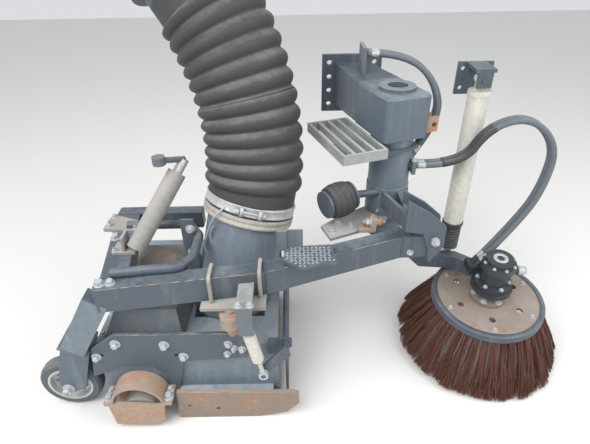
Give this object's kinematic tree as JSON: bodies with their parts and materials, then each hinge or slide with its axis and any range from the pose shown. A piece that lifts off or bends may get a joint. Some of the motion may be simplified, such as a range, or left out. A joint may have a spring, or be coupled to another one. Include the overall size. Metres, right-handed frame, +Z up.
{
  "type": "street sweeper side sweeping unit",
  "caption": "Side sweeping unit of a suction street sweeper: plate brush, trailing suction nozzle, corrugated hose, swing column and chassis flange.",
  "frame": {"origin": "centre of the chassis flange's bolt rectangle, on its back face", "axes": "+X forward along the vehicle, +Y inboard from the kerb side, out of the flange's back face, +Z up"},
  "size_m": [1.821, 0.824, 1.3765],
  "materials": {
    "grey_paint": "satin",
    "dusty_grey_paint": "matt",
    "rusty_steel": "matt",
    "zinc_steel": "satin",
    "worn_steel": "satin",
    "cream_paint": "satin",
    "cast_iron_paint": "satin",
    "dark_cast": "satin",
    "hose_rubber": "matt",
    "grey_rubber": "matt",
    "wheel_rubber": "matt",
    "bristle": "matt",
    "roller_plastic": "matt"
  },
  "bodies": {
    "chassis_bracket": {"mount_flange": "grey_paint", "main_beam": "grey_paint", "pivot_head": "cast_iron_paint", "column_tube": "grey_paint", "step_grating": "dusty_grey_paint", "step_bracket": "grey_paint", "swing_lug": "rusty_steel", "brush_clevis": "grey_paint", "hose_manifold": "dusty_grey_paint", "hopper_collar": "grey_paint", "strut_bracket": "grey_paint", "hose_upper": "hose_rubber", "beam_hose_near": "grey_rubber", "beam_hose_far": "grey_rubber", "brush_hose_near": "grey_rubber", "brush_hose_far": "grey_rubber"},
    "swing_bracket_body": {"swing_sleeve": "grey_paint", "swing_bracket": "grey_paint", "lift_pin": "worn_steel", "base_plate": "dusty_grey_paint", "stop_bracket": "rusty_steel", "air_buffer": "hose_rubber", "buffer_bracket": "grey_paint"},
    "trailing_frame": {"front_arm": "grey_paint", "arm_knuckle": "grey_paint", "arm_leg": "dusty_grey_paint", "wheel_fork": "dusty_grey_paint", "rear_member": "grey_paint", "corner_plate": "worn_steel", "guard_loop": "grey_paint", "inspection_cover": "dusty_grey_paint", "crank_tube": "dusty_grey_paint", "crank_handle": "grey_rubber", "checker_step": "dusty_grey_paint", "nozzle_body": "grey_paint", "nozzle_hood": "dusty_grey_paint", "side_plate": "grey_paint", "skid": "worn_steel", "roller_housing": "rusty_steel", "hanger_link": "rusty_steel", "suction_duct": "grey_paint", "seal_ring": "grey_rubber", "clamp_band": "zinc_steel", "flap_bearing": "grey_paint", "cylinder_bracket": "dusty_grey_paint", "hose_lower": "hose_rubber"},
    "support_wheel": {"support_tyre": "wheel_rubber", "support_rim": "zinc_steel"},
    "guard_roller": {"guide_roller": "roller_plastic"},
    "flap": {"front_flap": "dusty_grey_paint"},
    "flap_cylinder": {"flap_barrel": "cream_paint"},
    "flap_cylinder_rod": {"flap_rod": "zinc_steel"},
    "brush_carrier": {"brush_arm": "grey_paint", "brush_motor": "dark_cast"},
    "plate_brush": {"brush_disc": "rusty_steel", "brush_bristles": "bristle"},
    "lift_strut": {"strut_barrel": "cream_paint"},
    "lift_strut_rod": {"strut_rod": "zinc_steel", "strut_boot": "hose_rubber"}
  },
  "joints": [
    {"name": "column_swing", "type": "hinge", "parent": "chassis_bracket", "child": "swing_bracket_body", "pos_m": [0.097, -0.35, -0.294], "axis": [0, 0, 1], "range_deg": [-12, 0]},
    {"name": "arm_lift", "type": "hinge", "parent": "swing_bracket_body", "child": "trailing_frame", "pos_m": [0.215, -0.524, -0.33], "axis": [0, 1, 0], "range_deg": [0, 10], "deforming": ["hose_lower", "hose_upper"]},
    {"name": "support_wheel_roll", "type": "hinge", "parent": "trailing_frame", "child": "support_wheel", "pos_m": [-0.96, -0.708, -0.762], "axis": [0, 1, 0], "continuous": true},
    {"name": "guard_roller_roll", "type": "hinge", "parent": "trailing_frame", "child": "guard_roller", "pos_m": [-0.711, -0.79, -0.79], "axis": [0, 1, 0], "continuous": true},
    {"name": "flap_open", "type": "hinge", "parent": "trailing_frame", "child": "flap", "pos_m": [-0.249, -0.5, -0.556], "axis": [0, -1, 0], "range_deg": [0, 30]},
    {"name": "flap_cylinder_swing", "type": "hinge", "parent": "trailing_frame", "child": "flap_cylinder", "pos_m": [-0.355, -0.804, -0.437], "axis": [0, -1, 0], "range_deg": [0, 11.1]},
    {"name": "flap_rod_slide", "type": "slide", "parent": "flap_cylinder", "child": "flap_cylinder_rod", "axis": [0.1876, 0, -0.9823], "range_m": [0, 0.037]},
    {"name": "brush_lift", "type": "hinge", "parent": "chassis_bracket", "child": "brush_carrier", "pos_m": [0.157, -0.35, -0.462], "axis": [0, -1, 0], "range_deg": [0, 20], "deforming": ["brush_hose_near", "brush_hose_far"]},
    {"name": "brush_spin", "type": "hinge", "parent": "brush_carrier", "child": "plate_brush", "pos_m": [0.461, -0.495, -0.627], "axis": [0, -0.1045, 0.9945], "continuous": true},
    {"name": "strut_swing", "type": "hinge", "parent": "chassis_bracket", "child": "lift_strut", "pos_m": [0.355, -0.324, 0.096], "axis": [0, -1, 0], "range_deg": [0, 2.5]},
    {"name": "strut_rod_slide", "type": "slide", "parent": "lift_strut", "child": "lift_strut_rod", "axis": [0, 0, 1], "range_m": [0, 0.074], "deforming": ["strut_boot"]}
  ],
  "couplings": [
    {"joint": "flap_cylinder_swing", "follows": "flap_open", "ratio": 0.35297},
    {"joint": "flap_rod_slide", "follows": "flap_open", "m_per_rad": 0.069033},
    {"joint": "strut_swing", "follows": "brush_lift", "ratio": 0.1091},
    {"joint": "strut_rod_slide", "follows": "brush_lift", "m_per_rad": 0.21007}
  ]
}
